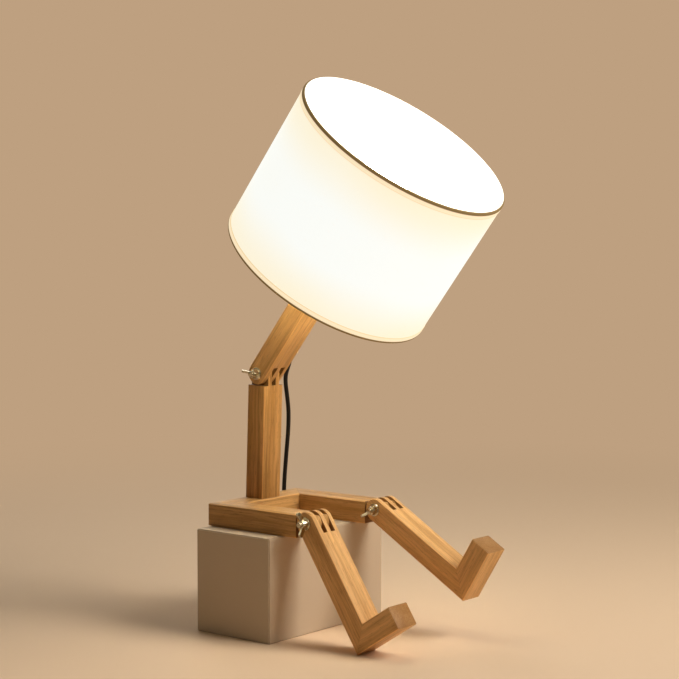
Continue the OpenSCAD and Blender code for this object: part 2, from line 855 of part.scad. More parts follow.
// A taper along +Z with ribs round it, moulded on the plug's body.
module strain_relief() {
    rib = relief_l / relief_ribs;
    groove = 0.6;
    taper = 2 / relief_l;
    foot_r = cord_r + 1;
    rotate_extrude() polygon(concat(
        [[0, 0]],
        [for (k = [0:relief_ribs - 1]) each [
            [foot_r + taper * rib * k, rib * k],
            [foot_r + taper * rib * k, rib * (k + 0.6)],
            [foot_r + taper * rib * k - groove, rib * (k + 0.7)],
            [foot_r + taper * rib * k - groove, rib * (k + 0.95)]
        ]],
        [[foot_r + 2, relief_l], [foot_r + 2, relief_l + 3], [0, relief_l + 3]]
    ));
}

module plug_pins() {
    color(brass) translate([plug_x + plug_l, plug_y, plug_z]) for (y = [-1, 1] * pin_pitch / 2)
        translate([0, y - pin_t / 2, -pin_w / 2]) rotate([-90, 0, 0]) mirror([0, 1, 0])
            linear_extrude(pin_t) polygon([
                [0, 0], [pin_l - 2, 0], [pin_l, 2], [pin_l, pin_w - 2], [pin_l - 2, pin_w], [0, pin_w]
            ]);
}

back_bar();
right_arm();
left_arm();
seat_dowels();
torso_post();
torso_screws();
neck_bar();
neck_bolt();
neck_washer();
neck_wing_nut();
cable_grommet();
neck_lead();
right_leg();
right_foot();
right_ankle_dowels();
right_knee_bolt();
right_knee_washer();
right_wing_nut();
left_leg();
left_foot();
left_ankle_dowels();
left_knee_bolt();
left_knee_washer();
left_wing_nut();
holder_nipple();
holder_cap();
holder_shell();
switch_block();
switch_knob();
socket_insert();
screw_shell();
centre_contact();
shade_clamp_ring();
bulb_cap();
bulb_glass();
shade_drum();
lower_binding();
upper_binding();
shade_top_ring();
shade_lower_ring();
shade_spokes();
shade_gallery();
cord_drop();
cord_coil();
cord_tail();
plug_body();
plug_pins();
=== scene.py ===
import json
from math import cos, pi, radians, sin, tau

import bmesh
import bpy
from mathutils import Euler, Matrix, Vector


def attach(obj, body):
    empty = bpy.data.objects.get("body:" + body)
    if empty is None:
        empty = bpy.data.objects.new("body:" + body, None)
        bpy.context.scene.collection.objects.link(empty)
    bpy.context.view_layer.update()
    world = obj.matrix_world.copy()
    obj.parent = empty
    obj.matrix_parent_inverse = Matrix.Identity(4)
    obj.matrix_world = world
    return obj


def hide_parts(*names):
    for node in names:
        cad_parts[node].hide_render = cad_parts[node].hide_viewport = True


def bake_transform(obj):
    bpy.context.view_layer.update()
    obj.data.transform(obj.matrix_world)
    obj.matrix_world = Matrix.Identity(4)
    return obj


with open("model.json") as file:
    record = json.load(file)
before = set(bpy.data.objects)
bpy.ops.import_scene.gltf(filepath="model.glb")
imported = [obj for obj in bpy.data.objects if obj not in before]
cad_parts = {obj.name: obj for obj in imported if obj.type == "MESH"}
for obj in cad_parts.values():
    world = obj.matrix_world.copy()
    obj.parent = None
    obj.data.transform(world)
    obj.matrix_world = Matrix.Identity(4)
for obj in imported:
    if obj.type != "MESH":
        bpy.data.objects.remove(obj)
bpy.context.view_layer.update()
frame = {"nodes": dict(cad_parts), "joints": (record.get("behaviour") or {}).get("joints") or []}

nodes = frame["nodes"]
joints = {joint["name"]: joint for joint in frame["joints"]}
MM = 0.001

# ---- Camera --------------------------------------------------------------------------------
# Stands at the figure's front right, level with the shade, and looks down slightly. The long
# lens keeps the bars' edges nearly parallel.

camera = bpy.data.objects.new("camera", bpy.data.cameras.new("camera"))
camera.data.sensor_width = 36
camera.data.lens = 90.52
camera.data.clip_end = 20
camera.location = (1.148389, -1.298320, 0.286092)
camera.rotation_euler = (radians(86.6), 0, radians(38.944))
bpy.context.collection.objects.link(camera)
bpy.context.scene.camera = camera
bpy.context.scene.view_settings.view_transform = "Standard"

# ---- Cord ----------------------------------------------------------------------------------
# Round black two-core flex, 4.4 mm thick. It leaves the neck's left face through a grommet,
# drops behind the seat and runs into a flat coil of two layers on the level of the heel.

cord_radius = 2.2 * MM
cord_route = [
    (15.679, 15, 166.048), (15.679, 16, 166.048), (15.4, 19.8, 165.4), (14.4, 23.1, 163.4),
    (13, 25.2, 160.5), (11.4, 26, 157), (9.3, 26.3, 152.5), (7.2, 26.8, 147.8),
    (5.2, 28, 142.4), (3.5, 30.2, 135.8), (2.2, 32.9, 128.6), (1, 35.8, 120),
    (-0.6, 39, 110), (-2.4, 41.4, 100), (-4.6, 43.4, 88), (-7.2, 45.2, 76), (-10, 46.8, 63),
    (-12.8, 48.4, 49), (-15.2, 49.8, 36), (-16.8, 50.8, 24), (-17.4, 51.3, 10),
    (-17.6, 51.5, -10), (-17.6, 51.5, -32), (-17.6, 51.5, -54), (-17.6, 51.5, -74),
    (-18.4, 51.5, -82), (-21, 51.5, -89.4), (-25.4, 51.5, -95), (-31.4, 51.5, -98.6),
    (-38, 51.5, -99.6), (-46, 51.5, -99.6), (-55, 51.5, -99.6),
]
tail_route = [
    (-60, 122.3, -95.2), (-56, 122.3, -95), (-52, 122.3, -94.5), (-48, 122.3, -94.3),
    (-42, 122.3, -94.3),
]
coil_centre = Vector((-64, 86.9, 0)) * MM
coil_outer = 35.4 * MM
coil_turns = 8.5
coil_low, coil_high = -99.6 * MM, -95.2 * MM
cord_pitch = 4.4 * MM
climb_turns = 0.5


def coil_point(turn):
    """A point of the coil after so many turns: inwards on the floor, then outwards on top."""
    half = coil_turns / 2
    inwards = turn if turn < half else coil_turns - turn
    radius = coil_outer - cord_pitch * inwards
    climb = min(max((turn - half) / climb_turns + 0.5, 0), 1)
    climb = climb * climb * (3 - 2 * climb)
    height = coil_low + (coil_high - coil_low) * climb
    angle = tau * turn
    return coil_centre + Vector((-radius * sin(angle), -radius * cos(angle), height))


def smooth_path(points, steps):
    """The points with a Catmull-Rom curve run through them, steps pieces to a span."""
    ends = [2 * points[0] - points[1], *points, 2 * points[-1] - points[-2]]
    path = []
    for a, b, c, d in zip(ends, ends[1:], ends[2:], ends[3:]):
        for k in range(steps):
            t = k / steps
            path.append(0.5 * (2 * b + (c - a) * t + (2 * a - 5 * b + 4 * c - d) * t * t
                               + (3 * b - a - 3 * c + d) * t * t * t))
    return path + [points[-1]]


def new_piece(name, mesh, body, slot, *materials):
    """An object for a mesh that lies in the row frame, riding on a body."""
    piece = bpy.data.objects.new(name, mesh)
    bpy.context.collection.objects.link(piece)
    for material in materials:
        mesh.materials.append(material)
    if body:
        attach(piece, body)
    return piece


def shade_smooth(mesh, sharp_angle):
    mesh.polygons.foreach_set("use_smooth", [True] * len(mesh.polygons))
    mesh.set_sharp_from_angle(angle=radians(sharp_angle))
    return mesh


def tube_faces(rows, sides):
    """Quads between rows of points that each go round a tube, and its two end caps."""
    faces = []
    for row in range(rows - 1):
        for k in range(sides):
            a, b = row * sides + k, row * sides + (k + 1) % sides
            faces.append((a, b, b + sides, a + sides))
    faces.append(tuple(reversed(range(sides))))
    faces.append(tuple(range((rows - 1) * sides, rows * sides)))
    return faces


def swept_mesh(name, path, radii, sides):
    """A closed round tube along a path, with one radius for each of its points."""
    rings = []
    tangents = [(b - a).normalized() for a, b in zip([path[0]] + path[:-1], path[1:] + [path[-1]])]
    side = tangents[0].orthogonal().normalized()
    for point, tangent, radius in zip(path, tangents, radii):
        side = (side - tangent * side.dot(tangent)).normalized()
        up = tangent.cross(side)
        rings += [point + radius * (cos(tau * k / sides) * side + sin(tau * k / sides) * up)
                  for k in range(sides)]
    mesh = bpy.data.meshes.new(name)
    mesh.from_pydata(rings, [], tube_faces(len(path), sides))
    return shade_smooth(mesh, 50)


def srgb(red, green, blue):
    """A colour as a screen shows it, from 0 to 255, as the shader's linear one."""
    def linear(value):
        value /= 255
        return value / 12.92 if value <= 0.04045 else ((value + 0.055) / 1.055) ** 2.4
    return (linear(red), linear(green), linear(blue), 1)


def new_material(name, colour, roughness, **settings):
    """A material with its Principled shader, whose plain settings are given by socket name."""
    material = bpy.data.materials.new(name)
    material.use_nodes = True
    shader = material.node_tree.nodes["Principled BSDF"]
    shader.inputs["Base Color"].default_value = colour
    shader.inputs["Roughness"].default_value = roughness
    for socket, value in settings.items():
        shader.inputs[socket.replace("_", " ")].default_value = value
    return material, material.node_tree, shader


def add_node(tree, kind, inputs=(), **settings):
    """A node with its settings, and its inputs by name or number: a socket is linked."""
    node = tree.nodes.new(kind)
    for name, value in settings.items():
        setattr(node, name, value)
    for key, value in dict(inputs).items():
        if isinstance(value, bpy.types.NodeSocket):
            tree.links.new(value, node.inputs[key])
        else:
            node.inputs[key].default_value = value
    return node


def object_point(tree):
    return add_node(tree, "ShaderNodeTexCoord").outputs["Object"]


def fine_bump(tree, shader, height, strength, distance):
    bump = add_node(tree, "ShaderNodeBump",
                    {"Height": height, "Strength": strength, "Distance": distance})
    tree.links.new(bump.outputs["Normal"], shader.inputs["Normal"])


def mottled(tree, point, scale, low, high, detail=3.0):
    """A soft noise, stretched to run from low to high."""
    noise = add_node(tree, "ShaderNodeTexNoise",
                     {"Vector": point, "Scale": scale, "Detail": detail})
    spread = add_node(tree, "ShaderNodeMapRange",
                      {"Value": noise.outputs[0], "From Min": 0.3, "From Max": 0.7,
                       "To Min": low, "To Max": high})
    return spread.outputs["Result"]


def cord_jacket(name):
    material, tree, shader = new_material(name, srgb(8, 7, 7), 0.5, Specular_IOR_Level=0.35)
    point = object_point(tree)
    tree.links.new(mottled(tree, point, 300, 0.40, 0.55), shader.inputs["Roughness"])
    fine_bump(tree, shader, mottled(tree, point, 1500, 0, 1), 0.15, 0.2 * MM)
    return material


def mm_points(points):
    return [Vector(point) * MM for point in points]


steps_per_turn, steps_per_span, cord_sides = 36, 3, 16
coil_steps = int(coil_turns * steps_per_turn)
cord_path = smooth_path(mm_points(cord_route), steps_per_span)
cord_path += [coil_point(coil_turns * k / coil_steps) for k in range(coil_steps + 1)]
cord_path += smooth_path(mm_points(tail_route), steps_per_span)
cord_mesh = swept_mesh("cord", cord_path, [cord_radius] * len(cord_path), cord_sides)
cord_material = cord_jacket("cord_jacket")
cord = new_piece("cord", cord_mesh, None, "black_cord", cord_material)
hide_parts("cord_drop", "cord_coil", "cord_tail")
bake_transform(cord)

# ---- Plug ----------------------------------------------------------------------------------
# A small moulded mains plug in the cord's own black, with a waisted grip and a ribbed,
# tapered strain relief that is moulded on in one piece with it.

plug_centre = Vector((-20, 122.3, -94.3)) * MM
plug_sections = [
    # distance from the back, half width, half thickness, in millimetres
    (0, 7.2, 5.2), (0.8, 9.2, 6.3), (3, 10.6, 6.9), (7, 10.9, 7.1), (12, 10.2, 6.6),
    (16, 10.2, 6.6), (20, 11.6, 7.3), (24.4, 11.9, 7.45), (25.6, 11.5, 7.1), (26, 10.6, 6.4),
]
plug_corner = 2.6
plug_sides = 48
relief_length, relief_seat = 22 * MM, 1.5 * MM
relief_thin, relief_flare, relief_ring = 3.0 * MM, 2.0 * MM, 0.5 * MM
relief_rings = 6


def plug_body_mesh():
    """The grip, lofted through rounded sections, closed at both ends."""
    points = []
    for along, half_w, half_t in plug_sections:
        for k in range(plug_sides):
            angle = tau * k / plug_sides
            c, s = cos(angle), sin(angle)
            scale = (abs(c) ** plug_corner + abs(s) ** plug_corner) ** (-1 / plug_corner)
            offset = Vector((along, half_w * scale * c, half_t * scale * s))
            points.append(plug_centre + offset * MM)
    mesh = bpy.data.meshes.new("plug_body_moulded")
    mesh.from_pydata(points, [], tube_faces(len(plug_sections), plug_sides))
    return shade_smooth(mesh, 40)


def relief_mesh():
    """The strain relief: a taper with rings moulded round it."""
    path, radii = [], []
    steps = relief_rings * 8
    for k in range(steps + 1):
        t = k / steps
        ring = 0.5 - 0.5 * cos(tau * relief_rings * t)
        path.append(plug_centre + Vector((relief_length * (t - 1) + relief_seat * t, 0, 0)))
        radii.append(relief_thin + relief_flare * t + relief_ring * ring)
    return swept_mesh("plug_relief", path, radii, 32)


plug_material = cord_jacket("plug_moulding")
plug = new_piece("plug", plug_body_mesh(), "seat", "black_cord", plug_material)
relief = new_piece("plug_strain_relief", relief_mesh(), "seat", "black_cord", plug_material)
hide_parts("plug_body")

# ---- Floor, ledge and light ----------------------------------------------------------------
# A plain pale floor on the level of the lowest heel, and a plain block as deep as the seat,
# for it to sit on. One broad lamp before the figure, two weak ones beside and behind it, and a
# room for polished metal to mirror, bright overhead and dim below.

floor_level, floor_radius, floor_sides = -101.8 * MM, 6, 96
fade_start, fade_end = 0.35, 1.6
backdrop_colour = srgb(190, 160, 128)
floor_colour = srgb(240, 210, 176)
ledge_colour = srgb(196, 176, 150)
ledge_low, ledge_high = Vector((-11, -88, -101.8)) * MM, Vector((84, 88, -0.05)) * MM
ledge_bevel = 1 * MM
room_low, room_high = srgb(84, 66, 44), srgb(255, 238, 204)
lamp_target = Vector((0.05, 0, 0.1))


def floor_mesh():
    """One round face."""
    mesh = bpy.data.meshes.new("floor")
    angles = [tau * k / floor_sides for k in range(floor_sides)]
    rim = [(floor_radius * cos(a), floor_radius * sin(a), floor_level) for a in angles]
    mesh.from_pydata(rim, [], [tuple(range(floor_sides))])
    return mesh


def block_mesh(low, high):
    """A box between two corners, with its edges rounded."""
    mesh = bpy.data.meshes.new("ledge")
    shape = bmesh.new()
    bmesh.ops.create_cube(shape, size=1)
    for vertex in shape.verts:
        vertex.co = Vector(a + (b - a) * (c + 0.5) for a, b, c in zip(low, high, vertex.co))
    bmesh.ops.bevel(shape, geom=shape.edges[:], offset=ledge_bevel, segments=2, affect="EDGES")
    shape.to_mesh(mesh)
    shape.free()
    return mesh


def ramp(tree, value, low, high):
    """A smooth step from 0 at low to 1 at high."""
    return add_node(tree, "ShaderNodeMapRange",
                    {"Value": value, "From Min": low, "From Max": high},
                    interpolation_type="SMOOTHSTEP").outputs["Result"]


def maths(tree, operation, *values, **settings):
    """What a Math node makes of its values."""
    return add_node(tree, "ShaderNodeMath", dict(enumerate(values)), operation=operation,
                    **settings).outputs[0]


def colour_mix(tree, factor, a, b):
    return add_node(tree, "ShaderNodeMix", {0: factor, 6: a, 7: b}, data_type="RGBA").outputs[2]


def floor_material():
    """Plain paint that, seen from far off, turns into the backdrop's own colour."""
    material, tree, shader = new_material("floor_paint", floor_colour, 0.75)
    distance = add_node(tree, "ShaderNodeVectorMath", {0: object_point(tree)}, operation="LENGTH")
    far = ramp(tree, distance.outputs["Value"], fade_start, fade_end)
    glow = add_node(tree, "ShaderNodeEmission", {"Color": backdrop_colour})
    mix = add_node(tree, "ShaderNodeMixShader",
                   {0: far, 1: shader.outputs[0], 2: glow.outputs[0]})
    tree.links.new(mix.outputs[0], tree.nodes["Material Output"].inputs["Surface"])
    return material


def add_lamp(name, place, size, power, colour):
    """A square lamp that looks at the figure, in metres and watts."""
    lamp = bpy.data.objects.new(name, bpy.data.lights.new(name, "AREA"))
    lamp.data.size = size
    lamp.data.energy = power
    lamp.data.color = colour
    lamp.location = place
    lamp.rotation_euler = (lamp_target - Vector(place)).to_track_quat("-Z", "Y").to_euler()
    bpy.context.collection.objects.link(lamp)


floor = bpy.data.objects.new("floor", floor_mesh())
ledge = bpy.data.objects.new("ledge", block_mesh(ledge_low, ledge_high))
floor.data.materials.append(floor_material())
ledge.data.materials.append(new_material("ledge_paint", ledge_colour, 0.7)[0])
for prop in (floor, ledge):
    bpy.context.collection.objects.link(prop)

add_lamp("key", (1.4, 0.45, 1.25), size=0.9, power=28, colour=(1, 0.95, 0.88))
add_lamp("side", (-0.3, -1.9, 0.7), size=1.2, power=0.3, colour=(0.96, 1, 0.82))
add_lamp("rear", (-1.4, 1.0, 1.1), size=1.0, power=6, colour=(1, 0.95, 0.9))

world = bpy.data.worlds.new("studio")
bpy.context.scene.world = world
world.use_nodes = True
tree = world.node_tree
air = tree.nodes["Background"]
air.inputs["Color"].default_value = (1, 0.94, 0.86, 1)
air.inputs["Strength"].default_value = 0.05
wall = add_node(tree, "ShaderNodeBackground", {"Color": backdrop_colour, "Strength": 1.0})
way = add_node(tree, "ShaderNodeTexCoord").outputs["Generated"]
upwards = add_node(tree, "ShaderNodeSeparateXYZ", {0: way}).outputs["Z"]
overhead = ramp(tree, upwards, 0.0, 0.45)
room_tone = colour_mix(tree, overhead, room_low, room_high)
room = add_node(tree, "ShaderNodeBackground", {"Color": room_tone, "Strength": 1.0})
rays = add_node(tree, "ShaderNodeLightPath").outputs
seen = maths(tree, "MAXIMUM", rays["Is Camera Ray"], rays["Is Transmission Ray"])
mix = add_node(tree, "ShaderNodeMixShader",
               {0: seen, 1: air.outputs[0], 2: wall.outputs[0]}).outputs[0]
mix = add_node(tree, "ShaderNodeMixShader",
               {0: rays["Is Glossy Ray"], 1: mix, 2: room.outputs[0]})
tree.links.new(mix.outputs[0], tree.nodes["World Output"].inputs["Surface"])

# ---- Hardwood bars -------------------------------------------------------------------------
# Planed bars of one section, 22.5 x 28 mm, with broken edges and an oil finish, a painted
# highlight along the broken edges and painted shade in the finger hinges' slots: the seat's
# three bars, the torso, the neck, two legs and two feet, and the dowels inside their mitres.

torso_lean, neck_tilt, right_swing, left_swing = 2, 38, 33, 59
neck_pin = Vector(joints["neck_tilt"]["pos_m"])
bar_ease = 0.45 * MM
sway_width = 6 * MM
# The slot share is painted shade: it darkens the hinges' slots, where shadow falls between the
# leaves.
ring_dark, fibre_dark, pore_dark, end_dark, slot_painted_shade = 0.15, 0.28, 0.42, 0.7, 0.8
# Painted highlight along the broken edges: how strongly they are mixed towards a paler copy of the
# bar's pale tone, and how much paler that copy is.
edge_highlight_part, edge_highlight_gain = 0.6, 1.2


def make_grain():
    """Grain of a straight-grown hardwood whose length lies along the vector's Z."""
    group = bpy.data.node_groups.new("hardwood_grain", "ShaderNodeTree")
    for name, kind in (("Vector", "Vector"), ("Pale", "Color"), ("Warm", "Color"),
                       ("Dark", "Color"), ("Streaks", "Float"), ("End grain", "Float"),
                       ("Arris", "Float"), ("Slot shade", "Float")):
        group.interface.new_socket(name, in_out="INPUT", socket_type="NodeSocket" + kind)
    for name, kind in (("Colour", "Color"), ("Roughness", "Float"), ("Height", "Float")):
        group.interface.new_socket(name, in_out="OUTPUT", socket_type="NodeSocket" + kind)
    source = add_node(group, "NodeGroupInput").outputs

    def times(vector, factors):
        return add_node(group, "ShaderNodeVectorMath", {0: vector, 1: factors},
                        operation="MULTIPLY").outputs[0]

    sway = add_node(group, "ShaderNodeTexNoise",
                    {"Vector": times(source["Vector"], (1, 1, 0.3)), "Scale": 34, "Detail": 2.0})
    swayed = add_node(group, "ShaderNodeVectorMath",
                      {0: sway.outputs["Color"], 1: (sway_width, sway_width, 0),
                       2: source["Vector"]},
                      operation="MULTIPLY_ADD").outputs[0]

    def grown(scale, along, detail):
        """Noise drawn out along the bar, the more so the smaller along is."""
        return add_node(group, "ShaderNodeTexNoise",
                        {"Vector": times(swayed, (1, 1, along)), "Scale": scale,
                         "Detail": detail, "Roughness": 0.62}).outputs[0]

    def darkened(tone, mask, amount):
        part = maths(group, "MULTIPLY", mask, amount, use_clamp=True)
        return colour_mix(group, part, tone, source["Dark"])

    rings = add_node(group, "ShaderNodeTexWave",
                     {"Vector": times(swayed, (1, 1, 0.05)), "Scale": 78, "Distortion": 6,
                      "Detail": 3.0, "Detail Scale": 1.4, "Detail Roughness": 0.6},
                     wave_type="RINGS", rings_direction="Z", wave_profile="SAW")
    ring_mask = ramp(group, rings.outputs[1], 0.45, 1.0)
    board = ramp(group, grown(75, 0.07, 3), 0.36, 0.64)
    fibres = ramp(group, grown(620, 0.022, 3), 0.42, 0.68)
    streaks = ramp(group, grown(210, 0.03, 4), 0.50, 0.66)
    pores = ramp(group, grown(1100, 0.10, 2), 0.56, 0.70)
    tone = colour_mix(group, board, source["Pale"], source["Warm"])
    tone = darkened(tone, ring_mask, ring_dark)
    tone = darkened(tone, fibres, fibre_dark)
    tone = darkened(tone, streaks, source["Streaks"])
    tone = darkened(tone, pores, pore_dark)
    tone = darkened(tone, ramp(group, source["End grain"], 0.5, 0.95), end_dark)
    # Painted shade in the hinges' slots, where shadow falls between the leaves.
    tone = darkened(tone, source["Slot shade"], slot_painted_shade)
    # Painted highlight along the broken edges.
    edge_highlight_tone = add_node(group, "ShaderNodeVectorMath", {0: source["Pale"], "Scale": edge_highlight_gain},
                      operation="SCALE").outputs[0]
    edges = maths(group, "MULTIPLY", source["Arris"], edge_highlight_part)
    tone = colour_mix(group, edges, tone, edge_highlight_tone)
    rough = add_node(group, "ShaderNodeMapRange",
                     {"Value": fibres, "To Min": 0.44, "To Max": 0.58}).outputs["Result"]
    height = maths(group, "MULTIPLY_ADD", pores, -0.7, 1.0)
    height = maths(group, "MULTIPLY_ADD", fibres, -0.2, height)
    add_node(group, "NodeGroupOutput",
             {"Colour": tone, "Roughness": rough, "Height": height})
    return group


grain = make_grain()


def timber(name, turn, heart, streaks, pale, warm, dark):
    """Oiled hardwood: turn lays the grain along the bar, heart is where its pith would be."""
    material, tree, shader = new_material(name, pale, 0.5, Specular_IOR_Level=0.28)
    along = add_node(tree, "ShaderNodeMapping",
                     {"Vector": object_point(tree), "Location": heart,
                      "Rotation": [radians(a) for a in turn]}, vector_type="TEXTURE")
    wood = add_node(tree, "ShaderNodeGroup", node_tree=grain)
    tree.links.new(along.outputs[0], wood.inputs["Vector"])
    # The slot marks carry painted shade into the hinges' slots, the arris marks a painted
    # highlight along the broken edges.
    for socket, attribute in (("End grain", "end_grain"), ("Arris", "arris"), ("Slot shade", "slot")):
        marks = add_node(tree, "ShaderNodeAttribute", attribute_name=attribute)
        tree.links.new(marks.outputs["Fac"], wood.inputs[socket])
    for socket, value in (("Pale", pale), ("Warm", warm), ("Dark", dark), ("Streaks", streaks)):
        wood.inputs[socket].default_value = value
    tree.links.new(wood.outputs["Colour"], shader.inputs["Base Color"])
    tree.links.new(wood.outputs["Roughness"], shader.inputs["Roughness"])
    fine_bump(tree, shader, wood.outputs["Height"], 0.35, 0.3 * MM)
    return material


def plain_mesh(piece):
    """The piece with its modifiers worked into its mesh."""
    evaluated = piece.evaluated_get(bpy.context.evaluated_depsgraph_get())
    mesh = bpy.data.meshes.new_from_object(evaluated)
    piece.modifiers.clear()
    piece.data = mesh
    return mesh


weld = 0.002 * MM
flat_angle, edge_angle, smooth_angle = 1.5, 32, 40


def eased(node, width, segments=2):
    """A copy of a CAD piece with all its edges rounded over, as wide as given."""
    mesh = nodes[node].data.copy()
    shape = bmesh.new()
    shape.from_mesh(mesh)
    bmesh.ops.remove_doubles(shape, verts=shape.verts, dist=weld)
    bmesh.ops.dissolve_limit(shape, angle_limit=radians(flat_angle), verts=shape.verts,
                             edges=shape.edges)
    bmesh.ops.recalc_face_normals(shape, faces=shape.faces)
    shape.to_mesh(mesh)
    shape.free()
    for stale in ("custom_normal", "sharp_edge", "sharp_face"):
        if stale in mesh.attributes:
            mesh.attributes.remove(mesh.attributes[stale])
    mesh.materials.clear()
    piece = bpy.data.objects.new(node + "_eased", mesh)
    bpy.context.collection.objects.link(piece)
    bevel = piece.modifiers.new("ease", "BEVEL")
    bevel.width = width
    bevel.segments = segments
    bevel.limit_method = "ANGLE"
    bevel.angle_limit = radians(edge_angle)
    bpy.context.view_layer.update()
    shade_smooth(plain_mesh(piece), smooth_angle)
    return piece


hinge_pins = [Vector(joints[name]["pos_m"]) for name in ("neck_tilt", "right_knee", "left_knee")]
hinge_reach, inner_leaves = 19.2 * MM, 12.6 * MM
cheek_squareness, curve_squareness = 0.9, 0.7
slant_least, slant_most = 0.3, 0.95


def hinge_part(face):
    """Slot for a leaf's cheek or a slot's bottom, tip for a leaf's round end, or nothing."""
    for pin in hinge_pins:
        inwards = pin - face.center
        aside, inwards.y = abs(inwards.y), 0
        if aside > inner_leaves or inwards.length > hinge_reach:
            continue
        facing = face.normal.dot(inwards) / inwards.length
        if abs(face.normal.y) > cheek_squareness or facing > curve_squareness:
            return "slot"
        if facing < -curve_squareness:
            return "tip"


def mark_cut(mesh, turn):
    """Marks faces across the grain, those that break the long edges (for a painted highlight), and
    the hinges' slots (for painted shade).
    """
    turned = Euler([radians(a) for a in turn]).to_matrix()
    length = turned @ Vector((0, 0, 1))
    width = turned @ Vector((0, 1, 0))
    ends, edges, slot_shade_marks = [], [], []
    for face in mesh.polygons:
        part = hinge_part(face)
        across, aside = abs(face.normal.dot(length)), abs(face.normal.dot(width))
        edge = across < slant_least < aside < slant_most
        ends += [0.0 if part == "tip" else across] * face.loop_total
        edges += [float(edge)] * face.loop_total
        slot_shade_marks += [float(part == "slot")] * face.loop_total
    for name, values in (("end_grain", ends), ("arris", edges), ("slot", slot_shade_marks)):
        mesh.attributes.new(name, "FLOAT", "CORNER").data.foreach_set("value", values)


seat_tones = (srgb(209, 160, 98), srgb(184, 136, 75), srgb(112, 74, 32))
torso_tones = (srgb(209, 157, 92), srgb(181, 131, 69), srgb(105, 71, 31))
neck_tones = (srgb(215, 167, 104), srgb(190, 142, 81), srgb(122, 86, 38))
leg_tones = (srgb(234, 184, 121), srgb(208, 158, 96), srgb(134, 86, 36))

bars = {
    # node: body, turn of the grain, pith, streaks, tones
    "back_bar": ("seat", (90, 0, 0), (0.040, 0, -0.050), 0.35, seat_tones),
    "right_arm": ("seat", (0, 90, 0), (0.01, -0.085, 0.052), 0.35, seat_tones),
    "left_arm": ("seat", (0, 90, 0), (0.02, 0.075, -0.045), 0.4, seat_tones),
    "torso_post": ("seat", (0, torso_lean, 0), (0.030, 0.022, 0.05), 0.42, torso_tones),
    "neck_bar": ("head", (0, neck_tilt, 0), (0.09, 0.03, 0.12), 0.35, neck_tones),
    "right_leg": ("right_shin", (0, -right_swing, 0), (0.2, -0.1, 0.0), 0.18, leg_tones),
    "right_foot": ("right_shin", (0, 90 - right_swing, 0), (0.2, -0.02, -0.13), 0.08, leg_tones),
    "left_leg": ("left_shin", (0, -left_swing, 0), (0.18, 0.09, 0.04), 0.2, leg_tones),
    "left_foot": ("left_shin", (0, 90 - left_swing, 0), (0.26, 0.03, -0.1), 0.1, leg_tones),
}
for node, (body, turn, heart, streaks, tones) in bars.items():
    bar = eased(node, bar_ease)
    mark_cut(bar.data, turn)
    bar.data.materials.append(timber("timber_" + node, turn, heart, streaks, *tones))
    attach(bar, body)
    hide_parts(node)

dowel_wood = timber("timber_dowels", (0, 0, 45), (0, 0, 0), 0, *leg_tones)


def finish_node(node, material):
    """Gives a CAD piece its finish in place of the plain colour that it came with."""
    nodes[node].data.materials.clear()
    nodes[node].data.materials.append(material)


for node in ("seat_dowels", "right_ankle_dowels", "left_ankle_dowels"):
    finish_node(node, dowel_wood)

# ---- Hinge bolts, washers and wing nuts ----------------------------------------------------
# Nickel-plated steel: a carriage bolt through the leaves of each hinge, a flat washer and a
# forged wing nut, all stock M5. The torso's wood screws and the holder's tube are of the same.


def polished_metal(name, colour, roughness):
    material, tree, shader = new_material(name, colour, roughness, Metallic=1.0)
    point = object_point(tree)
    haze = mottled(tree, point, 260, roughness - 0.06, roughness + 0.10)
    tree.links.new(haze, shader.inputs["Roughness"])
    fine_bump(tree, shader, mottled(tree, point, 900, 0, 1), 0.12, 0.2 * MM)
    return material


nickel = polished_metal("nickel_plate", srgb(196, 187, 164), 0.12)


def make_thread():
    """Geometry nodes: one thread ridge wound round a shank, set in its place and finished."""
    tree = bpy.data.node_groups.new("thread_ridge", "GeometryNodeTree")
    for name, kind in (("Radius", "Float"), ("Pitch", "Float"), ("Turns", "Float"),
                       ("Ridge", "Float"), ("Place", "Vector"), ("Turn", "Vector"),
                       ("Finish", "Material")):
        tree.interface.new_socket(name, in_out="INPUT", socket_type="NodeSocket" + kind)
    tree.interface.new_socket("Geometry", in_out="OUTPUT", socket_type="NodeSocketGeometry")
    given = add_node(tree, "NodeGroupInput").outputs
    rise = maths(tree, "MULTIPLY", given["Pitch"], given["Turns"])
    helix = add_node(tree, "GeometryNodeCurveSpiral",
                     {"Resolution": 32, "Rotations": given["Turns"], "Height": rise,
                      "Start Radius": given["Radius"], "End Radius": given["Radius"]})
    ridge = add_node(tree, "GeometryNodeCurvePrimitiveCircle",
                     {"Resolution": 6, "Radius": given["Ridge"]})
    solid = add_node(tree, "GeometryNodeCurveToMesh",
                     {"Curve": helix.outputs[0], "Profile Curve": ridge.outputs[0],
                      "Fill Caps": True})
    placed = add_node(tree, "GeometryNodeTransform",
                      {"Geometry": solid.outputs[0], "Translation": given["Place"],
                       "Rotation": given["Turn"]})
    real = add_node(tree, "GeometryNodeRealizeInstances", {0: placed.outputs[0]})
    painted = add_node(tree, "GeometryNodeSetMaterial",
                       {"Geometry": real.outputs[0], "Material": given["Finish"]})
    add_node(tree, "NodeGroupOutput", {"Geometry": painted.outputs[0]})
    return tree


thread_tree = make_thread()


def thread(name, body, slot, **inputs):
    """A thread ridge as a plain mesh that rides on a body."""
    piece = bpy.data.objects.new(name, bpy.data.meshes.new(name))
    bpy.context.collection.objects.link(piece)
    modifier = piece.modifiers.new("thread", "NODES")
    modifier.node_group = thread_tree
    for item in thread_tree.interface.items_tree:
        if item.in_out == "INPUT":
            modifier[item.identifier] = inputs[item.name]
    bpy.context.view_layer.update()
    shade_smooth(plain_mesh(piece), 60)
    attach(piece, body)
    return piece


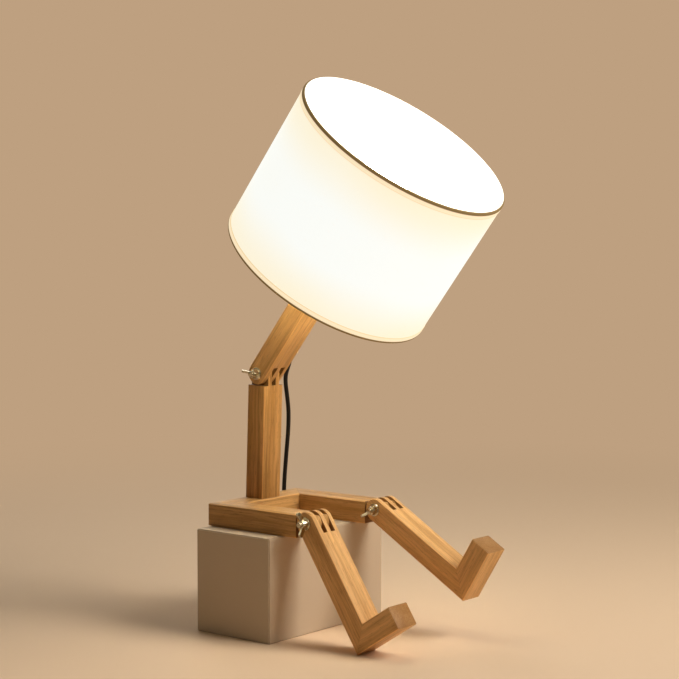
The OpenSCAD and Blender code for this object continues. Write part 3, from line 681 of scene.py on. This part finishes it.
thread_radius, thread_pitch, thread_ridge = 2.4 * MM, 0.8 * MM, 0.22 * MM
thread_foot, thread_turns = 21.4 * MM, 3.2
bolt_ease, washer_ease, nut_ease = 0.25 * MM, 0.2 * MM, 0.3 * MM
hinges = {
    # bolt's name: nut's name, bolt's body, nut's body
    "neck": ("neck_wing_nut", "head", "neck_nut"),
    "right_knee": ("right_wing_nut", "right_shin", "right_nut"),
    "left_knee": ("left_wing_nut", "left_shin", "left_nut"),
}
for name, (nut, bolt_body, nut_body) in hinges.items():
    fasteners = ((name + "_bolt", bolt_body, bolt_ease),
                 (name + "_washer", bolt_body, washer_ease), (nut, nut_body, nut_ease))
    for node, body, width in fasteners:
        piece = eased(node, width, 3)
        piece.data.materials.append(nickel)
        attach(piece, body)
        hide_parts(node)
    pin = Vector(joints["neck_tilt" if name == "neck" else name]["pos_m"])
    thread(name + "_bolt_thread", bolt_body, "plated_steel", Radius=thread_radius,
           Pitch=thread_pitch, Turns=thread_turns, Ridge=thread_ridge,
           Place=pin - Vector((0, thread_foot, 0)), Turn=(pi / 2, 0, 0), Finish=nickel)

for node in ("torso_screws", "holder_nipple"):
    finish_node(node, nickel)

# ---- Cable grommet and lead ----------------------------------------------------------------
# A black rubber grommet lines the hole in the neck's left face, and the lead runs from it up
# the channel that is drilled through the neck to the lamp holder.

rubber, tree, shader = new_material("grommet_rubber", srgb(30, 29, 28), 0.6)
fine_bump(tree, shader, mottled(tree, object_point(tree), 900, 0, 1), 0.25, 0.2 * MM)
grommet_ease = 0.35 * MM
grommet = eased("cable_grommet", grommet_ease, 3)
grommet.data.materials.append(rubber)
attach(grommet, "head")
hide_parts("cable_grommet")
finish_node("neck_lead", cord_material)

# ---- Lamp holder and switch ----------------------------------------------------------------
# A black moulded holder in two shells with a flange, a knurled ring that clamps the shade,
# white insulators, a brass screw shell and a fluted knob that turns the switch.

neck_frame = Matrix.Translation(neck_pin) @ Matrix.Rotation(radians(neck_tilt), 4, "Y")
shell_ease, knob_ease = 0.3 * MM, 0.12 * MM
shell_radius, shell_thread_foot = 19.5 * MM, 182.6 * MM
shell_pitch, shell_ridge, shell_turns = 2.2 * MM, 0.45 * MM, 3.4


def moulded(name, colour, roughness, grit):
    material, tree, shader = new_material(name, colour, roughness)
    point = object_point(tree)
    tree.links.new(mottled(tree, point, 180, roughness - 0.05, roughness + 0.08),
                   shader.inputs["Roughness"])
    fine_bump(tree, shader, mottled(tree, point, 1400, 0, 1), grit, 0.2 * MM)
    return material


holder_black = moulded("holder_moulding", srgb(28, 27, 27), 0.34, 0.12)
porcelain = moulded("holder_insulator", srgb(232, 230, 222), 0.22, 0.05)
brass = polished_metal("contact_brass", srgb(214, 178, 108), 0.28)
moulded_parts = (
    ("holder_cap", "head", shell_ease), ("holder_shell", "head", shell_ease),
    ("shade_clamp_ring", "head", shell_ease), ("switch_knob", "switch", knob_ease),
)
for node, body, width in moulded_parts:
    part = eased(node, width)
    part.data.materials.append(holder_black)
    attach(part, body)
    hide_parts(node)
for node in ("switch_block", "socket_insert"):
    finish_node(node, porcelain)
for node in ("screw_shell", "centre_contact", "plug_pins"):
    finish_node(node, brass)
thread("holder_shell_thread", "head", "holder_black", Radius=shell_radius, Pitch=shell_pitch,
       Turns=shell_turns, Ridge=shell_ridge, Place=neck_frame @ Vector((0, 0, shell_thread_foot)),
       Turn=(0, radians(neck_tilt), 0), Finish=holder_black)

# ---- Bulb ----------------------------------------------------------------------------------
# An opal bulb, 55 mm across, on a nickel-plated screw cap. It is switched on, and so bright
# that it shows no more than its outline.

opal, tree, shader = new_material("opal_glass", srgb(255, 250, 236), 0.35, Emission_Strength=28.0)
shader.inputs["Emission Color"].default_value = srgb(255, 244, 214)
tree.links.new(mottled(tree, object_point(tree), 60, 0.3, 0.4), shader.inputs["Roughness"])
finish_node("bulb_glass", opal)
finish_node("bulb_cap", nickel)

# ---- Drum shade ----------------------------------------------------------------------------
# Cream cloth laminated on a translucent liner, lapped and glued in one upright seam at the
# back. Each rim is a tape folded round a ring wire, and is dark where the wire stops the light.

shade_radius, shade_wall = 109.1 * MM, 1.2 * MM
shade_low, shade_high = 131 * MM, 287 * MM
shade_middle, shade_half = (shade_low + shade_high) / 2, (shade_high - shade_low) / 2
tape_width, tape, tape_bevel = 7 * MM, 0.4 * MM, 0.15 * MM
wire_radius = 1.5 * MM
bead_radius = wire_radius + tape
wire_line = shade_radius + tape - bead_radius
wall_foot = 2 * bead_radius - tape
seam_angle, seam_lap, seam_step = radians(180), radians(5.2), 0.3 * MM
drum_sides, drum_rows = 360, 12
cloth_pitch, tape_pitch = 0.7 * MM, 0.5 * MM
cloth_glow, tape_glow = 0.95, 0.93
shadow_blur = 0.5 * MM


def neck_ring_point(radius, angle, height):
    """A point round the neck's line, at an angle from the neck's front and a height along it."""
    return neck_frame @ Vector((radius * cos(angle), radius * sin(angle), height))


def drum_faces(count):
    """Quads of a closed profile of so many points, turned all the way round."""
    faces = []
    for k in range(drum_sides):
        base, after = k * count, (k + 1) % drum_sides * count
        for i in range(count):
            j = (i + 1) % count
            faces.append((base + i, after + i, after + j, base + j))
    return faces


def turned_mesh(name, profile):
    """A closed profile of (radius, height) points, turned about the neck's line."""
    points = [neck_ring_point(radius, tau * k / drum_sides, height)
              for k in range(drum_sides) for radius, height in profile]
    mesh = bpy.data.meshes.new(name)
    mesh.from_pydata(points, [], drum_faces(len(profile)))
    shape = bmesh.new()
    shape.from_mesh(mesh)
    bmesh.ops.recalc_face_normals(shape, faces=shape.faces)
    shape.to_mesh(mesh)
    shape.free()
    return mesh


def neck_point(tree):
    """Object coordinates turned into the neck's frame, with Z along the neck."""
    return add_node(tree, "ShaderNodeMapping",
                    {"Vector": object_point(tree), "Location": neck_pin,
                     "Rotation": (0, radians(neck_tilt), 0)}, vector_type="TEXTURE").outputs[0]


def from_middle(tree, height):
    """How far a height along the neck lies from the shade's middle."""
    return maths(tree, "ABSOLUTE", maths(tree, "SUBTRACT", height, shade_middle))


def make_glow():
    """Lamplight in cloth: white beside the bulb, warmer towards the rims and in the seam."""
    group = bpy.data.node_groups.new("lamplight_in_cloth", "ShaderNodeTree")
    for name, kind in (("Point", "Vector"), ("Centre", "Color"), ("Rim", "Color"),
                       ("Seam", "Color")):
        group.interface.new_socket(name, in_out="INPUT", socket_type="NodeSocket" + kind)
    group.interface.new_socket("Colour", in_out="OUTPUT", socket_type="NodeSocketColor")
    source = add_node(group, "NodeGroupInput").outputs
    parts = add_node(group, "ShaderNodeSeparateXYZ", {0: source["Point"]}).outputs
    far = ramp(group, from_middle(group, parts["Z"]), 0.2 * shade_half, shade_half)
    cloud = mottled(group, source["Point"], 9, -0.12, 0.12, 1)
    far = maths(group, "ADD", far, cloud, use_clamp=True)
    glow = colour_mix(group, far, source["Centre"], source["Rim"])
    angle = maths(group, "ARCTAN2", parts["Y"], parts["X"])
    in_seam = maths(group, "LESS_THAN", angle, seam_lap - seam_angle)
    add_node(group, "NodeGroupOutput",
             {"Colour": colour_mix(group, in_seam, glow, source["Seam"])})
    return group


glow_group = make_glow()


def weave_height(tree, point, pitch):
    """Crossed threads round and along the drum, from the angle about the neck and the height."""
    parts = add_node(tree, "ShaderNodeSeparateXYZ", {0: point}).outputs
    angle = maths(tree, "ARCTAN2", parts["Y"], parts["X"])
    around = maths(tree, "MULTIPLY", angle, round(tau * shade_radius / pitch))
    along = maths(tree, "MULTIPLY", parts["Z"], tau * round(1 / pitch))
    cross = maths(tree, "MULTIPLY", maths(tree, "SINE", around), maths(tree, "SINE", along))
    slub = mottled(tree, point, 420, -0.6, 0.6)
    return maths(tree, "ADD", cross, slub)


def shade_cloth(name, colour, centre, rim, seam):
    """Woven cloth of a plain colour, which glows in three more with the light behind it."""
    material, tree, shader = new_material(name, colour, 0.85, Emission_Strength=cloth_glow,
                                          Specular_IOR_Level=0.2)
    point = neck_point(tree)
    glow = add_node(tree, "ShaderNodeGroup", node_tree=glow_group)
    tree.links.new(point, glow.inputs["Point"])
    glow.inputs["Centre"].default_value = centre
    glow.inputs["Rim"].default_value = rim
    glow.inputs["Seam"].default_value = seam
    tree.links.new(glow.outputs["Colour"], shader.inputs["Emission Color"])
    height = weave_height(tree, point, cloth_pitch)
    thread_tone = add_node(tree, "ShaderNodeMapRange",
                           {"Value": height, "From Min": -1.5, "From Max": 1.5,
                            "To Min": 0.9, "To Max": 1.06}).outputs["Result"]
    base = add_node(tree, "ShaderNodeVectorMath", {0: colour[:3], "Scale": thread_tone},
                    operation="SCALE")
    tree.links.new(base.outputs[0], shader.inputs["Base Color"])
    fine_bump(tree, shader, height, 0.3, 0.3 * MM)
    return material


cloth = shade_cloth("shade_cloth", srgb(106, 98, 82), centre=srgb(252, 255, 251),
                    rim=srgb(255, 245, 216), seam=srgb(252, 240, 212))
liner = shade_cloth("shade_liner", srgb(250, 246, 236), centre=srgb(255, 255, 250),
                    rim=srgb(255, 248, 228), seam=srgb(255, 246, 222))


def drum_mesh():
    """The rolled wall, thicker by one layer of cloth where its ends lap at the seam."""
    low, high = shade_low + wall_foot, shade_high - wall_foot
    heights = [low + (high - low) * k / drum_rows for k in range(drum_rows + 1)]
    points = []
    for k in range(drum_sides):
        angle = tau * k / drum_sides
        into_seam = (angle - seam_angle) / seam_lap
        lap = seam_step if 0 <= into_seam <= 1 else 0
        outer, inner = shade_radius + lap, shade_radius - shade_wall
        for radius, levels in ((outer, heights), (inner, heights[::-1])):
            points += [neck_ring_point(radius, angle, level) for level in levels]
    count = 2 * len(heights)
    mesh = bpy.data.meshes.new("shade_wall")
    mesh.from_pydata(points, [], drum_faces(count))
    for face in mesh.polygons:
        outside = face.index % count < drum_rows
        face.material_index = 0 if outside else 1
    return shade_smooth(mesh, 40)


def tape_profile(level, up):
    """Tape folded round the ring wire, with both its ends glued flat on the wall."""
    inner = shade_radius - shade_wall

    def arc(radius, start, end, steps):
        angles = [radians(start + (end - start) * k / steps) for k in range(steps + 1)]
        return [(wire_line + radius * cos(a), bead_radius + radius * sin(a)) for a in angles]

    profile = [(shade_radius, tape_width), (shade_radius + tape, tape_width - tape_bevel)]
    profile += arc(bead_radius, 0, -267, 22)
    profile += [(inner - tape, tape_width - tape_bevel), (inner, tape_width)]
    profile += arc(wire_radius, 78.5, 360, 18)
    return [(radius, level + up * height) for radius, height in profile]


def rim_tape(name, shadow_depth):
    """Cream tape that glows, but for where the wire in its fold stands before the light."""
    material, tree, shader = new_material(name, srgb(236, 214, 170), 0.8,
                                          Emission_Strength=tape_glow, Specular_IOR_Level=0.2)
    point = neck_point(tree)
    height = add_node(tree, "ShaderNodeSeparateXYZ", {0: point}).outputs["Z"]
    offset = from_middle(tree, height)
    flat = add_node(tree, "ShaderNodeVectorMath", {0: point, 1: (1, 1, 0)}, operation="MULTIPLY")
    radius = add_node(tree, "ShaderNodeVectorMath", {0: flat.outputs[0]}, operation="LENGTH")
    shadow_line, tape_end = shade_half - shadow_depth, shade_half - tape_width
    near_rim = ramp(tree, offset, shadow_line - shadow_blur, shadow_line + shadow_blur)
    last_thread = ramp(tree, offset, tape_end + 0.9 * MM, tape_end + 0.4 * MM)
    outside = ramp(tree, radius.outputs["Value"], wire_line - 0.3 * MM, wire_line + 0.5 * MM)
    glow = colour_mix(tree, last_thread, srgb(254, 232, 194), srgb(238, 208, 156))
    glow = colour_mix(tree, near_rim, glow, srgb(84, 66, 36))
    # Painted light: the tape's inner side, which faces the bulb, glows white and has a paler base
    # colour than its outer side.
    glow = colour_mix(tree, outside, srgb(255, 255, 250), glow)
    tone = colour_mix(tree, near_rim, srgb(132, 126, 110), srgb(128, 108, 72))
    tone = colour_mix(tree, outside, srgb(246, 240, 226), tone)
    tree.links.new(tone, shader.inputs["Base Color"])
    tree.links.new(glow, shader.inputs["Emission Color"])
    fine_bump(tree, shader, weave_height(tree, point, tape_pitch), 0.3, 0.2 * MM)
    return material


shade = new_piece("shade_wall", drum_mesh(), "head", "shade_fabric", cloth, liner)
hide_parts("shade_drum")
rims = (
    # node, level of its rim, side of the wall, depth of the wire's shadow
    ("lower_binding", shade_low, 1, 2.7 * MM),
    ("upper_binding", shade_high, -1, 2.9 * MM),
)
for node, level, up, shadow_depth in rims:
    mesh = shade_smooth(turned_mesh(node + "_tape", tape_profile(level, up)), 50)
    band = new_piece(node + "_tape", mesh, "head", "shade_binding",
                     rim_tape(node + "_cloth", shadow_depth))
    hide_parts(node)

white_wire, tree, shader = new_material("white_wire", srgb(228, 224, 214), 0.4)
tree.links.new(mottled(tree, object_point(tree), 200, 0.34, 0.48), shader.inputs["Roughness"])
for node in ("shade_top_ring", "shade_lower_ring", "shade_spokes", "shade_gallery"):
    finish_node(node, white_wire)
